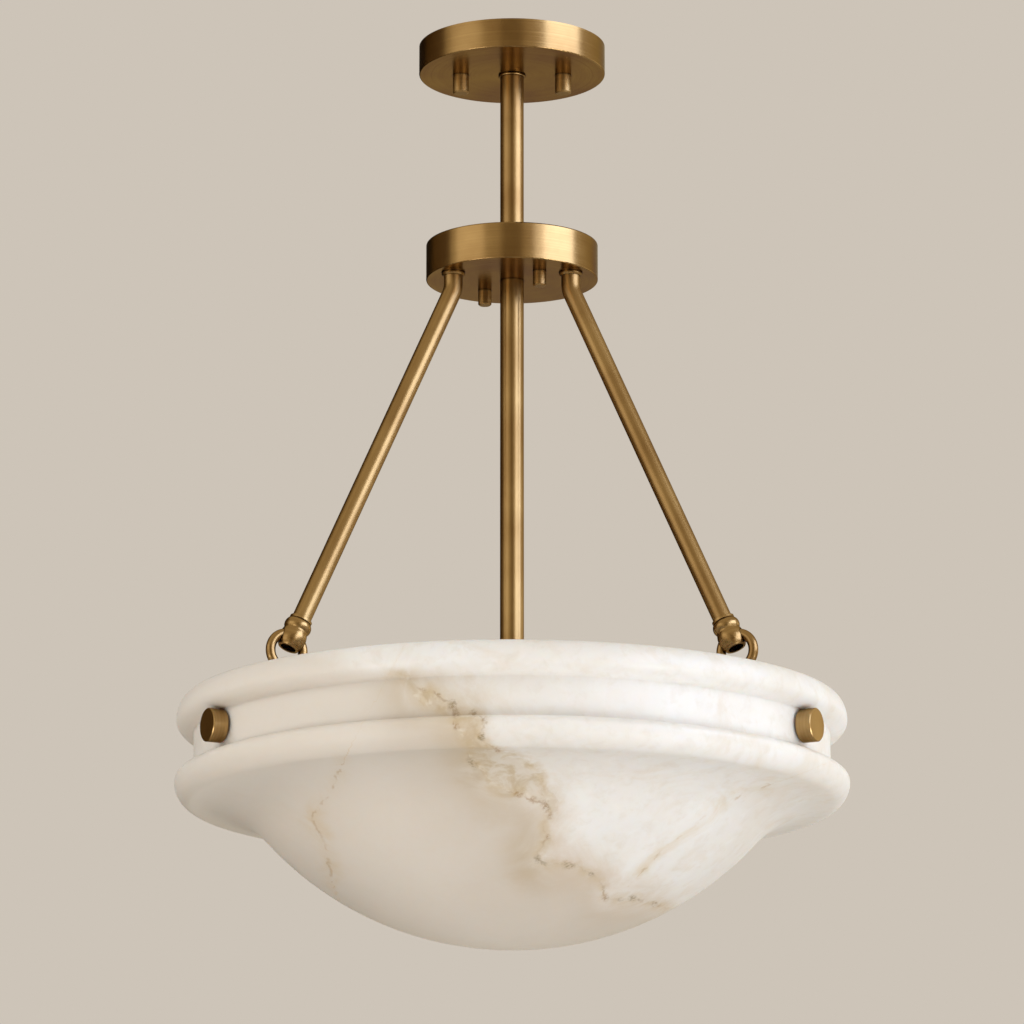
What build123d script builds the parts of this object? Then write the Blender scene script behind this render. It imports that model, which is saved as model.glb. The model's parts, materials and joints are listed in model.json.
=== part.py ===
from build123d import *
import os
from math import atan2, copysign, cos, degrees, radians, sin, sqrt

os.makedirs("parts", exist_ok=True)

# Sizes are in millimetres. The origin is on the ceiling, at the middle of the canopy, and +Z is up,
# so the whole light hangs below zero.

# Fits and threads
thread_fit = 0.05
hole_fit = 0.3
nipple_radius = 5.0
nipple_bore = 3.2
nipple_grip = 10.0
nipple_proud = 1.0
locknut_height = 4.0
locknut_apothem = 7.2
stud_radius = 2.1
cap_nut_edge = 0.9
cap_nut_face = 3.0
stud_end_gap = 1.0

# Canopy and the strap that it hides
canopy_diameter = 127.0
canopy_height = 20.0
canopy_wall = 1.5
canopy_edge = 0.9
crossbar_length = 110.0
crossbar_width = 19.0
crossbar_thickness = 2.5
crossbar_collar_radius = 8.0
crossbar_collar_height = 3.0
box_screw_spacing = 88.9
box_slot_length = 10.0
box_slot_radius = 2.3
canopy_stud_spacing = 69.85
canopy_nut_diameter = 11.0
canopy_nut_height = 13.0
ground_screw_offset = 18.0
ground_screw_radius = 2.0
ground_head_radius = 4.0
ground_head_height = 2.4

# Stems
stem_diameter = 16.0
stem_wall = 1.2
bush_length = 12.0
bush_taper = 2.0
upper_stem_length = 116.2
lower_stem_length = 331.2
canopy_collar_diameter = 18.4
canopy_collar_height = 1.6
canopy_collar_edge = 0.6
hub_collar_diameter = 17.6
hub_collar_height = 3.0
hub_collar_foot = 1.2

# Hub
hub_diameter = 116.4
hub_height = 25.0
hub_wall = 2.5
hub_floor = 3.0
hub_ledge = 1.5
hub_cover_thickness = 2.5
hub_edge = 0.8
hub_stud_circle = 61.6
hub_stud_azimuth = 127.0
hub_nut_diameter = 9.1
hub_nut_height = 10.5

# Arms: the third stands behind the stem, and the front pair stands a little forward of the middle
arm_azimuths = [90.0, 208.0, 332.0]
arm_diameter = 12.7
arm_root_radius = 44.8
arm_bend_drop = 12.0
arm_bend_radius = 18.0
arm_fall = 264.6
arm_nipple_length = 7.2
arm_collar_diameter = 15.8
arm_collar_height = 2.4
arm_collar_edge = 1.1

# Loop cup at the end of each arm, and the ring that hangs through it
cup_grip = 16.3
cup_lip_height = 1.6
cup_neck_height = 0.5
cup_neck_depth = 0.5
cup_slope_height = 0.7
cup_band_height = 6.0
cup_groove_height = 1.0
cup_mouth = 5.7
cup_lip_radius = 7.6
cup_band_radius = 9.1
cup_groove_radius = 8.2
cup_ball_radius = 9.0
cup_mouth_radius = 6.9
cup_wall = 1.5
cup_rim_width = 1.6
arm_seat = 7.3
ring_wire_diameter = 6.4
ring_mean_radius = 11.6
ring_hang = 7.9
ring_hole_fit = 0.5

# Hanger bracket on the inside of the bowl
eye_fit = 0.8
eye_web = 2.5
bracket_thickness = 3.0
bracket_bend = 4.5
bracket_step = 15.9
bracket_tail = 8.5
pad_thickness = 1.5
pad_radius = 8.0
bolt_radius = 3.0
bolt_end_gap = 1.2
bolt_head_radius = 5.5
bolt_head_height = 4.0
bolt_hole_fit = 0.8

# Knobs in the neck of the bowl
knob_diameter = 22.0
knob_length = 10.7
knob_edge = 0.5
knob_face = 2.6
gasket_thickness = 0.9
gasket_inset = 1.5

# Alabaster bowl: the neck's depth and wall, the lips and the cove are set from the rim
rim_below_eye = 9.15
rim_radius = 222.7
rim_round = 8.0
rim_inner_round = 5.0
upper_lip_crown = 12.7
upper_lip_under = 9.2
neck_depth = 11.6
neck_height = 26.0
neck_wall = 19.1
neck_corner = 2.0
knob_rise = 1.7
lower_lip_width = 12.7
lower_lip_crown = 6.4
lower_lip_under_width = 11.7
lower_lip_under_height = 14.4
lip_tightness = 0.72
cove_radius = 65.7
bowl_depth = 162.0
bowl_wall = 10.5
ring_hole_inset = 29.1
shoulder_below_neck = 2.1
shoulder_drop = 4.2
shoulder_round = 9.0

# Lamp cluster on the lower stem
lamp_azimuths = [30.0, 150.0, 270.0]
cluster_radius = 20.0
cluster_height = 26.0
cluster_boss_radius = 11.0
cluster_boss_height = 4.0
cluster_edge = 2.0
cluster_cap_radius = 9.5
cluster_cap_height = 13.0
cluster_cap_round = 3.5
cluster_cap_face = 4.0
cluster_nipple_length = 8.0
socket_gap = 2.0
socket_radius = 17.5
socket_length = 40.0
socket_floor = 8.0
socket_neck_radius = 11.0
socket_neck_length = 6.0
socket_edge = 1.0
socket_nipple_reach = 8.0
shell_wall = 0.6
shell_length = 26.0
shell_inset = 1.0
contact_radius = 4.0
contact_height = 2.0
contact_gap = 0.3

# Bulbs
bulb_base_radius = 13.2
bulb_base_length = 24.0
bulb_tip_radius = 5.0
bulb_tip_length = 3.0
bulb_glass_radius = 30.0
bulb_glass_length = 80.0
bulb_glass_wall = 1.0
bulb_neck_radius = 13.0

# Heights that follow from the stack of parts
canopy_radius = canopy_diameter / 2
stem_radius = stem_diameter / 2
upper_stem_top = -canopy_height - canopy_collar_height
upper_stem_bottom = upper_stem_top - upper_stem_length
hub_top = upper_stem_bottom - hub_collar_height
hub_bottom = hub_top - hub_height
hub_radius = hub_diameter / 2
hub_inner_radius = hub_radius - hub_wall
lower_stem_bottom = hub_bottom - lower_stem_length
arm_radius = arm_diameter / 2
thread_hole = nipple_radius + thread_fit
clear_hole = nipple_radius + hole_fit

# The bowl's radii, and the point where the ring's holes cross the arm's line
neck_radius = rim_radius - neck_depth
lower_lip_radius = neck_radius + lower_lip_width
bowl_mouth_radius = neck_radius - neck_wall
arm_reach = bowl_mouth_radius - ring_hole_inset
bend_z = hub_bottom - arm_bend_drop
cross_z = hub_bottom - arm_fall
arm_lean = atan2(arm_reach - arm_root_radius, bend_z - cross_z)
along_r = sin(arm_lean)
along_z = -cos(arm_lean)

# The ring hangs down the arm's line from there, and the bowl hangs on the bracket's eye
ring_wire = ring_wire_diameter / 2
ring_r = arm_reach + ring_hang * along_r
ring_z = cross_z + ring_hang * along_z
eye_z = ring_z - ring_mean_radius
eye_radius = ring_wire + eye_fit
eye_outer = eye_radius + eye_web
rim_top = eye_z - rim_below_eye
upper_lip_z = rim_top - upper_lip_crown
neck_top_z = upper_lip_z - upper_lip_under
neck_bottom_z = neck_top_z - neck_height
lower_lip_z = neck_bottom_z - lower_lip_crown
bolt_z = (neck_top_z + neck_bottom_z) / 2 + knob_rise
bowl_bottom = rim_top - bowl_depth
pad_seat = sqrt(bowl_mouth_radius**2 - pad_radius**2)
leg_outer = pad_seat - pad_thickness
leg_middle = leg_outer - bracket_thickness / 2
knob_base = neck_radius + gasket_thickness
cluster_top = lower_stem_bottom
cluster_bottom = cluster_top - cluster_height
lamp_z = (cluster_top + cluster_bottom) / 2
socket_start = cluster_radius + socket_gap
socket_end = socket_start + socket_length
shell_radius = bulb_base_radius + thread_fit + shell_wall
contact_end = socket_start + socket_floor + contact_height
bulb_base_start = contact_end + contact_gap + bulb_tip_length
bulb_glass_start = bulb_base_start + bulb_base_length


def upright(azimuth):
    """Plane through the stem axis: its x runs outward at the azimuth and its y runs up."""
    angle = radians(azimuth)
    outward = (cos(angle), sin(angle), 0)
    return Plane(origin=(0, 0, 0), x_dir=outward, z_dir=(sin(angle), -cos(angle), 0))


def facing(azimuth, distance, height):
    """Plane square to the outward direction, that far from the stem axis and at that height."""
    angle = radians(azimuth)
    place = (distance * cos(angle), distance * sin(angle), height)
    return Plane(origin=place, x_dir=(-sin(angle), cos(angle), 0), z_dir=(cos(angle), sin(angle), 0))


def outward_axis(azimuth, height):
    """Axis from the stem outward at the azimuth, at that height."""
    angle = radians(azimuth)
    return Axis((0, 0, height), (cos(angle), sin(angle), 0))


def save(part, name):
    """Name the piece and write it."""
    part.label = name
    export_step(part, f"parts/{name}.step")


def tube(outer, inner, high, low):
    """Plain upright tube on the stem axis."""
    with BuildPart() as piece:
        with BuildSketch(Plane.XY.offset(low)):
            Circle(outer)
            Circle(inner, mode=Mode.SUBTRACT)
        extrude(amount=high - low)
    return piece.part


def hex_nuts(places, lower, direction=1):
    """Hexagon nuts with a threaded hole, one at each place, standing on the height lower."""
    with BuildPart() as nuts:
        with BuildSketch(Plane.XY.offset(lower)):
            with Locations(*places):
                RegularPolygon(locknut_apothem, 6, major_radius=False)
                Circle(thread_hole, mode=Mode.SUBTRACT)
        extrude(amount=direction * locknut_height)
    return nuts.part


def cap_nut(place, seat, diameter, height):
    """Round cap nut under a seat face, with a blind threaded bore and an eased end."""
    with BuildPart() as nut:
        with BuildSketch(Plane.XY.offset(seat)):
            with Locations(place):
                Circle(diameter / 2)
        extrude(amount=-height)
        chamfer(nut.edges().filter_by(GeomType.CIRCLE).sort_by(Axis.Z)[0], length=cap_nut_edge)
        with BuildSketch(Plane.XY.offset(seat)):
            with Locations(place):
                Circle(stud_radius + thread_fit)
        extrude(amount=cap_nut_face - height, mode=Mode.SUBTRACT)
    return nut.part


def stem_tube(top, bottom):
    """Stem: a thin tube whose ends are threaded bushes for the nipples."""
    with BuildPart() as piece:
        with BuildSketch(Plane.XZ):
            with BuildLine():
                Polyline(
                    (thread_hole, top),
                    (stem_radius, top),
                    (stem_radius, bottom),
                    (thread_hole, bottom),
                    (thread_hole, bottom + bush_length),
                    (stem_radius - stem_wall, bottom + bush_length + bush_taper),
                    (stem_radius - stem_wall, top - bush_length - bush_taper),
                    (thread_hole, top - bush_length),
                    close=True,
                )
            make_face()
        revolve(axis=Axis.Z)
    return piece.part


# Ceiling strap with its slots for the box screws
stud_x = canopy_stud_spacing / 2
stud_places = [(-stud_x, 0), (stud_x, 0)]
with BuildPart() as ceiling_crossbar:
    with BuildSketch():
        SlotOverall(crossbar_length, crossbar_width)
        with Locations((-box_screw_spacing / 2, 0), (box_screw_spacing / 2, 0)):
            SlotOverall(box_slot_length, 2 * box_slot_radius, mode=Mode.SUBTRACT)
        with Locations(*stud_places):
            Circle(stud_radius + thread_fit, mode=Mode.SUBTRACT)
        with Locations((ground_screw_offset, 0)):
            Circle(ground_screw_radius + thread_fit, mode=Mode.SUBTRACT)
    extrude(amount=-crossbar_thickness)
    with BuildSketch(Plane.XY.offset(-crossbar_thickness)):
        Circle(crossbar_collar_radius)
    extrude(amount=-crossbar_collar_height)
    Hole(thread_hole)
save(ceiling_crossbar.part, "ceiling_crossbar")

with BuildPart() as ground_screw:
    with Locations((ground_screw_offset, 0, -crossbar_thickness)):
        Cylinder(ground_head_radius, ground_head_height, align=(Align.CENTER, Align.CENTER, Align.MAX))
        Cylinder(ground_screw_radius, crossbar_thickness, align=(Align.CENTER, Align.CENTER, Align.MIN))
save(ground_screw.part, "ground_screw")

with BuildPart() as crossbar_studs:
    with BuildSketch():
        with Locations(*stud_places):
            Circle(stud_radius)
    extrude(amount=cap_nut_face + stud_end_gap - canopy_height - canopy_nut_height)
save(crossbar_studs.part, "crossbar_studs")

# Canopy: a shallow spun cup, open to the ceiling
with BuildPart() as canopy:
    with BuildSketch(Plane.XY.offset(-canopy_height)):
        Circle(canopy_radius)
    extrude(amount=canopy_height)
    fillet(canopy.edges().filter_by(GeomType.CIRCLE).sort_by(Axis.Z)[0], radius=canopy_edge)
    with BuildSketch():
        Circle(canopy_radius - canopy_wall)
    extrude(amount=-canopy_height + canopy_wall, mode=Mode.SUBTRACT)
    with BuildSketch(Plane.XY.offset(-canopy_height)):
        Circle(clear_hole)
        with Locations(*stud_places):
            Circle(stud_radius + hole_fit)
    extrude(amount=canopy_wall, mode=Mode.SUBTRACT)
save(canopy.part, "canopy")

save(tube(nipple_radius, nipple_bore, 0, upper_stem_top - nipple_grip), "canopy_nipple")
save(hex_nuts([(0, 0)], -canopy_height + canopy_wall), "canopy_locknut")
for number, place in enumerate(stud_places, start=1):
    nut = cap_nut(place, -canopy_height, canopy_nut_diameter, canopy_nut_height)
    save(nut, f"canopy_cap_nut_{number}")

with BuildPart() as canopy_collar:
    with BuildSketch(Plane.XY.offset(upper_stem_top)):
        Circle(canopy_collar_diameter / 2)
        Circle(clear_hole, mode=Mode.SUBTRACT)
    extrude(amount=canopy_collar_height)
    rims = canopy_collar.edges().filter_by(GeomType.CIRCLE).group_by(SortBy.RADIUS)[-1]
    fillet(rims, radius=canopy_collar_edge)
save(canopy_collar.part, "canopy_collar")

save(stem_tube(upper_stem_top, upper_stem_bottom), "upper_stem")

# Flared collar where the stem stands on the hub
with BuildPart() as hub_top_collar:
    with BuildSketch(Plane.XZ):
        with BuildLine():
            foot = Line((clear_hole, hub_top), (hub_collar_diameter / 2, hub_top))
            side = Line(foot @ 1, (hub_collar_diameter / 2, hub_top + hub_collar_foot))
            flare = Line(side @ 1, (stem_radius, upper_stem_bottom))
            Polyline(flare @ 1, (clear_hole, upper_stem_bottom), foot @ 0)
        make_face()
    revolve(axis=Axis.Z)
save(hub_top_collar.part, "hub_top_collar")

# Hub: a pan with the arms on its floor, closed by a cover that drops onto a ledge
hub_stud = hub_stud_circle / 2
hub_stud_places = []
for azimuth in (hub_stud_azimuth, hub_stud_azimuth + 180):
    hub_stud_places.append((hub_stud * cos(radians(azimuth)), hub_stud * sin(radians(azimuth))))
arm_places = []
for azimuth in arm_azimuths:
    arm_places.append((arm_root_radius * cos(radians(azimuth)), arm_root_radius * sin(radians(azimuth))))

with BuildPart() as hub_body:
    with BuildSketch(Plane.XY.offset(hub_bottom)):
        Circle(hub_radius)
    extrude(amount=hub_height)
    fillet(hub_body.edges().filter_by(GeomType.CIRCLE), radius=hub_edge)
    with BuildSketch(Plane.XY.offset(hub_top)):
        Circle(hub_inner_radius)
    extrude(amount=-hub_cover_thickness, mode=Mode.SUBTRACT)
    with BuildSketch(Plane.XY.offset(hub_top)):
        Circle(hub_inner_radius - hub_ledge)
    extrude(amount=-hub_height + hub_floor, mode=Mode.SUBTRACT)
    with BuildSketch(Plane.XY.offset(hub_bottom)):
        Circle(clear_hole)
        with Locations(*arm_places):
            Circle(clear_hole)
        with Locations(*hub_stud_places):
            Circle(stud_radius + hole_fit)
    extrude(amount=hub_floor, mode=Mode.SUBTRACT)
save(hub_body.part, "hub_body")

with BuildPart() as hub_cover:
    with BuildSketch(Plane.XY.offset(hub_top - hub_cover_thickness)):
        Circle(hub_inner_radius - hole_fit)
        Circle(clear_hole, mode=Mode.SUBTRACT)
        with Locations(*hub_stud_places):
            Circle(stud_radius + thread_fit, mode=Mode.SUBTRACT)
    extrude(amount=hub_cover_thickness)
save(hub_cover.part, "hub_cover")

with BuildPart() as hub_studs:
    with BuildSketch(Plane.XY.offset(hub_top - hole_fit)):
        with Locations(*hub_stud_places):
            Circle(stud_radius)
    extrude(amount=hole_fit + cap_nut_face + stud_end_gap - hub_height - hub_nut_height)
save(hub_studs.part, "hub_studs")

for number, place in enumerate(hub_stud_places, start=1):
    save(cap_nut(place, hub_bottom, hub_nut_diameter, hub_nut_height), f"hub_cap_nut_{number}")

hub_nipple = tube(nipple_radius, nipple_bore, upper_stem_bottom + nipple_grip, hub_bottom - nipple_grip)
save(hub_nipple, "hub_nipple")
save(hex_nuts([(0, 0)], hub_top - hub_cover_thickness, direction=-1), "hub_upper_locknut")
save(hex_nuts([(0, 0)], hub_bottom + hub_floor), "hub_lower_locknut")
save(hex_nuts(arm_places, hub_bottom + hub_floor), "arm_locknuts")

arm_nipple_top = hub_bottom + hub_floor + locknut_height + nipple_proud
with BuildPart() as arm_nipples:
    with BuildSketch(Plane.XY.offset(arm_nipple_top)):
        with Locations(*arm_places):
            Circle(nipple_radius)
            Circle(nipple_bore, mode=Mode.SUBTRACT)
    extrude(amount=hub_bottom - arm_nipple_length - arm_nipple_top)
save(arm_nipples.part, "arm_nipples")

save(stem_tube(hub_bottom, lower_stem_bottom), "lower_stem")


def arm_collar(azimuth):
    """Stepped flange between the hub and the arm's tube."""
    root = facing(azimuth, arm_root_radius, hub_bottom)
    centre = (root.origin.X, root.origin.Y)
    with BuildPart() as piece:
        with BuildSketch(Plane.XY.offset(hub_bottom)):
            with Locations(centre):
                Circle(arm_collar_diameter / 2)
        extrude(amount=-arm_collar_height)
        chamfer(piece.edges().filter_by(GeomType.CIRCLE).sort_by(Axis.Z)[0], length=arm_collar_edge)
        with BuildSketch(Plane.XY.offset(hub_bottom)):
            with Locations(centre):
                Circle(clear_hole)
        extrude(amount=-arm_collar_height, mode=Mode.SUBTRACT)
    return piece.part


def arm_tube(azimuth):
    """Bent tube: a short upright stub, one bend, then straight down and out into the cup."""
    end_r = arm_reach - arm_seat * along_r
    end_z = cross_z - arm_seat * along_z
    side = upright(azimuth)
    top = (arm_root_radius, hub_bottom - arm_collar_height)
    with BuildPart() as piece:
        with BuildLine(side) as route:
            FilletPolyline(top, (arm_root_radius, bend_z), (end_r, end_z), radius=arm_bend_radius)
        with BuildSketch(Plane(origin=route.line @ 0, z_dir=route.line % 0)):
            Circle(arm_radius)
            Circle(thread_hole, mode=Mode.SUBTRACT)
        sweep()
    return piece.part


def cup_plane(azimuth):
    """Plane through the arm's line: its origin is at the ring's holes and its y runs up the arm."""
    side = upright(azimuth)
    across = side.x_dir * cos(arm_lean) + side.y_dir * sin(arm_lean)
    return Plane(origin=side.from_local_coords((arm_reach, cross_z, 0)), x_dir=across, z_dir=side.z_dir)


def ring_plane(azimuth):
    """Plane of the ring, with its origin at the ring's centre."""
    side = upright(azimuth)
    return Plane(origin=side.from_local_coords((ring_r, ring_z, 0)), x_dir=side.x_dir, z_dir=side.z_dir)


def suspension_ring(azimuth):
    """Closed ring of round wire."""
    with BuildPart() as piece:
        with Locations(ring_plane(azimuth).location):
            Torus(ring_mean_radius, ring_wire)
    return piece.part


def loop_cup(azimuth):
    """Turned cup on the arm's end: lip, band, ball and open mouth, with two holes for the ring."""
    plane = cup_plane(azimuth)
    bore = arm_radius + thread_fit
    hollow = cup_ball_radius - cup_wall
    lip_bottom = cup_grip - cup_lip_height
    neck_bottom = lip_bottom - cup_neck_height
    band_top = neck_bottom - cup_slope_height
    band_bottom = band_top - cup_band_height
    ball_top = band_bottom - cup_groove_height
    with BuildPart() as piece:
        with BuildSketch(plane):
            with BuildLine():
                start = Line((bore, cup_grip), (cup_lip_radius, cup_grip))
                lip = Line(start @ 1, (cup_lip_radius, lip_bottom))
                neck = Line(lip @ 1, (cup_lip_radius - cup_neck_depth, neck_bottom))
                shoulder = Line(neck @ 1, (cup_groove_radius, band_top))
                band_mid = (cup_band_radius, (band_top + band_bottom) / 2)
                band = ThreePointArc(shoulder @ 1, band_mid, (cup_groove_radius, band_bottom))
                groove = Line(band @ 1, (cup_groove_radius, ball_top))
                ball_mid = (cup_ball_radius, (ball_top - cup_mouth) / 2)
                ball = ThreePointArc(groove @ 1, ball_mid, (cup_mouth_radius, -cup_mouth))
                mouth = Line(ball @ 1, (cup_mouth_radius - cup_rim_width, -cup_mouth))
                cave = ThreePointArc(mouth @ 1, (hollow - cup_rim_width / 2, -cup_mouth / 2), (hollow, 0))
                wall = Line(cave @ 1, (hollow, arm_seat - cup_wall))
                step = Line(wall @ 1, (bore, arm_seat))
                Line(step @ 1, start @ 0)
            make_face()
        revolve(axis=Axis(plane.origin, plane.y_dir))
        with Locations(ring_plane(azimuth).location):
            Torus(ring_mean_radius, ring_wire + ring_hole_fit, mode=Mode.SUBTRACT)
    return piece.part


def hanger_bracket(azimuth):
    """Bent strap: up the inside of the bowl from the bolt, inward, and up again to the ring's eye."""
    shelf_z = eye_z - bracket_step
    with BuildPart() as piece:
        with BuildLine(upright(azimuth)) as route:
            FilletPolyline(
                (leg_middle, bolt_z - bracket_tail),
                (leg_middle, shelf_z),
                (ring_r, shelf_z),
                (ring_r, eye_z),
                radius=bracket_bend,
            )
        with BuildSketch(Plane(origin=route.line @ 0, x_dir=upright(azimuth).z_dir, z_dir=route.line % 0)):
            Rectangle(2 * eye_outer, bracket_thickness)
        sweep()
        with BuildSketch(facing(azimuth, ring_r - bracket_thickness / 2, eye_z)):
            Circle(eye_outer)
        extrude(amount=bracket_thickness)
        with BuildSketch(facing(azimuth, ring_r - bracket_thickness, eye_z)):
            Circle(eye_radius)
        extrude(amount=2 * bracket_thickness, mode=Mode.SUBTRACT)
        with BuildSketch(facing(azimuth, leg_middle - bracket_thickness, bolt_z)):
            Circle(bolt_radius + hole_fit)
        extrude(amount=2 * bracket_thickness, mode=Mode.SUBTRACT)
    return piece.part


def bowl_knob(azimuth):
    """Round knob with a blind threaded bore, screwed on the end of the bracket bolt."""
    with BuildPart() as piece:
        with BuildSketch(facing(azimuth, knob_base, bolt_z)):
            Circle(knob_diameter / 2)
        extrude(amount=knob_length)
        chamfer(piece.edges().filter_by(GeomType.CIRCLE), length=knob_edge)
        with BuildSketch(facing(azimuth, knob_base, bolt_z)):
            Circle(bolt_radius + thread_fit)
        extrude(amount=knob_length - knob_face, mode=Mode.SUBTRACT)
    return piece.part


for number, azimuth in enumerate(arm_azimuths, start=1):
    save(arm_collar(azimuth), f"arm_collar_{number}")
    save(arm_tube(azimuth), f"arm_{number}")
    save(loop_cup(azimuth), f"loop_cup_{number}")
    save(suspension_ring(azimuth), f"suspension_ring_{number}")
    save(hanger_bracket(azimuth), f"hanger_bracket_{number}")
    save(bowl_knob(azimuth), f"bowl_knob_{number}")

# Bolts through the neck, with a fibre pad inside and a thin gasket under each knob
with BuildPart() as bracket_bolts:
    for azimuth in arm_azimuths:
        with BuildSketch(facing(azimuth, leg_outer - bracket_thickness, bolt_z)):
            Circle(bolt_head_radius)
        extrude(amount=-bolt_head_height)
        with BuildSketch(facing(azimuth, leg_outer - bracket_thickness, bolt_z)):
            Circle(bolt_radius)
        extrude(amount=knob_base + knob_length - knob_face - bolt_end_gap - leg_outer + bracket_thickness)
save(bracket_bolts.part, "bracket_bolts")

with BuildPart() as bracket_pads:
    for azimuth in arm_azimuths:
        with BuildSketch(facing(azimuth, leg_outer, bolt_z)):
            Circle(pad_radius)
            Circle(bolt_radius + hole_fit, mode=Mode.SUBTRACT)
        extrude(amount=pad_thickness)
save(bracket_pads.part, "bracket_pads")

with BuildPart() as knob_gaskets:
    for azimuth in arm_azimuths:
        with BuildSketch(facing(azimuth, neck_radius - gasket_thickness, bolt_z)):
            Circle(knob_diameter / 2 - gasket_inset)
            Circle(bolt_radius + hole_fit, mode=Mode.SUBTRACT)
        extrude(amount=2 * gasket_thickness)
    with Locations((0, 0, bolt_z)):
        Cylinder(neck_radius, 2 * knob_diameter, mode=Mode.SUBTRACT)
save(knob_gaskets.part, "knob_gaskets")


def quarter_oval(centre, width, height):
    """Quarter of an oval in two arcs that meet smoothly, the tighter one at the end of the long side."""
    long = max(abs(width), abs(height))
    short = min(abs(width), abs(height))
    tight = lip_tightness * short
    wide = (long**2 + short**2 - 2 * long * tight) / (2 * (short - tight))
    share = tight / (wide - tight)
    meet_long = (long - tight) * (1 + share)
    meet_short = (wide - short) * share
    if abs(width) > abs(height):
        meet = (centre[0] + meet_long, centre[1] + copysign(meet_short, height))
    else:
        meet = (centre[0] + meet_short, centre[1] + copysign(meet_long, height))
    first = TangentArc((centre[0] + width, centre[1]), meet, tangent=(0, height))
    TangentArc(first @ 1, (centre[0], centre[1] + height), tangent=first % 1)


# Bowl: turned alabaster with two rounded lips, a straight neck between them and a round dome below
flange_r = lower_lip_radius - lower_lip_under_width
flange_z = lower_lip_z - lower_lip_under_height
dome_height = flange_z - bowl_bottom
# The cove leaves the flange level and meets the dome smoothly, which fixes the dome's radius
dome_radius = (flange_r**2 + dome_height**2) / (2 * dome_height) - cove_radius
dome_z = bowl_bottom + dome_radius
cove_z = flange_z - cove_radius
cove_share = cove_radius / (cove_radius + dome_radius)
cove_end = (flange_r * (1 - cove_share), cove_z + (dome_z - cove_z) * cove_share)
inner_radius = dome_radius - bowl_wall
shoulder_z = neck_bottom_z - shoulder_below_neck
floor_edge_z = shoulder_z - shoulder_drop
floor_start = (sqrt(inner_radius**2 - (dome_z - floor_edge_z) ** 2), floor_edge_z)

with BuildPart() as alabaster_bowl:
    with BuildSketch(Plane.XZ) as section:
        with BuildLine():
            mouth_edge = bowl_mouth_radius + rim_inner_round
            Line((mouth_edge, rim_top), (rim_radius - rim_round, rim_top))
            quarter_oval((rim_radius - rim_round, upper_lip_z), rim_round, upper_lip_crown)
            quarter_oval((neck_radius, upper_lip_z), neck_depth, -upper_lip_under)
            Line((neck_radius, neck_top_z), (neck_radius, neck_bottom_z))
            quarter_oval((neck_radius, lower_lip_z), lower_lip_width, lower_lip_crown)
            quarter_oval((flange_r, lower_lip_z), lower_lip_under_width, -lower_lip_under_height)
            cove = TangentArc((flange_r, flange_z), cove_end, tangent=(-1, 0))
            dome = TangentArc(cove @ 1, (0, bowl_bottom), tangent=cove % 1)
            pole = Line(dome @ 1, (0, dome_z - inner_radius))
            floor = TangentArc(pole @ 1, floor_start, tangent=(1, 0))
            FilletPolyline(
                floor @ 1,
                (bowl_mouth_radius, shoulder_z),
                (bowl_mouth_radius, rim_top - rim_inner_round),
                radius=shoulder_round,
            )
            CenterArc((mouth_edge, rim_top - rim_inner_round), rim_inner_round, 90, 90)
        make_face()
        inside = neck_radius - hole_fit
        neck_ends = section.vertices().filter_by_position(Axis.X, inside, neck_radius + hole_fit)
        fillet(neck_ends, radius=neck_corner)
    revolve(axis=Axis.Z)
    for azimuth in arm_azimuths:
        with BuildSketch(facing(azimuth, leg_outer, bolt_z)):
            Circle(bolt_radius + bolt_hole_fit)
        extrude(amount=rim_radius - leg_outer, mode=Mode.SUBTRACT)
save(alabaster_bowl.part, "alabaster_bowl")

# Lamp cluster: a turned body on the stem's end, with three sockets that point outward
with BuildPart() as cluster_body:
    with BuildSketch(Plane.XY.offset(cluster_bottom)):
        Circle(cluster_radius)
    extrude(amount=cluster_height - cluster_boss_height)
    fillet(cluster_body.edges().filter_by(GeomType.CIRCLE), radius=cluster_edge)
    with BuildSketch(Plane.XY.offset(cluster_top)):
        Circle(cluster_boss_radius)
    extrude(amount=-cluster_boss_height)
    with BuildSketch(Plane.XY.offset(cluster_top)):
        Circle(clear_hole)
    extrude(amount=-cluster_height, mode=Mode.SUBTRACT)
    for azimuth in lamp_azimuths:
        with BuildSketch(facing(azimuth, cluster_radius / 2, lamp_z)):
            Circle(thread_hole)
        extrude(amount=cluster_radius, mode=Mode.SUBTRACT)
save(cluster_body.part, "cluster_body")

cluster_nipple_low = cluster_bottom - cluster_nipple_length
cluster_nipple = tube(nipple_radius, nipple_bore, cluster_top + nipple_grip, cluster_nipple_low)
save(cluster_nipple, "cluster_nipple")

with BuildPart() as cluster_cap_nut:
    with BuildSketch(Plane.XY.offset(cluster_bottom)):
        Circle(cluster_cap_radius)
    extrude(amount=-cluster_cap_height)
    fillet(cluster_cap_nut.edges().filter_by(GeomType.CIRCLE).sort_by(Axis.Z)[0], radius=cluster_cap_round)
    with BuildSketch(Plane.XY.offset(cluster_bottom)):
        Circle(thread_hole)
    extrude(amount=cluster_cap_face - cluster_cap_height, mode=Mode.SUBTRACT)
save(cluster_cap_nut.part, "cluster_cap_nut")

with BuildPart() as socket_nipples:
    for azimuth in lamp_azimuths:
        with BuildSketch(facing(azimuth, cluster_radius - socket_nipple_reach, lamp_z)):
            Circle(nipple_radius)
            Circle(nipple_bore, mode=Mode.SUBTRACT)
        extrude(amount=socket_nipple_reach + socket_gap + socket_neck_length - hole_fit)
save(socket_nipples.part, "socket_nipples")


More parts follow.
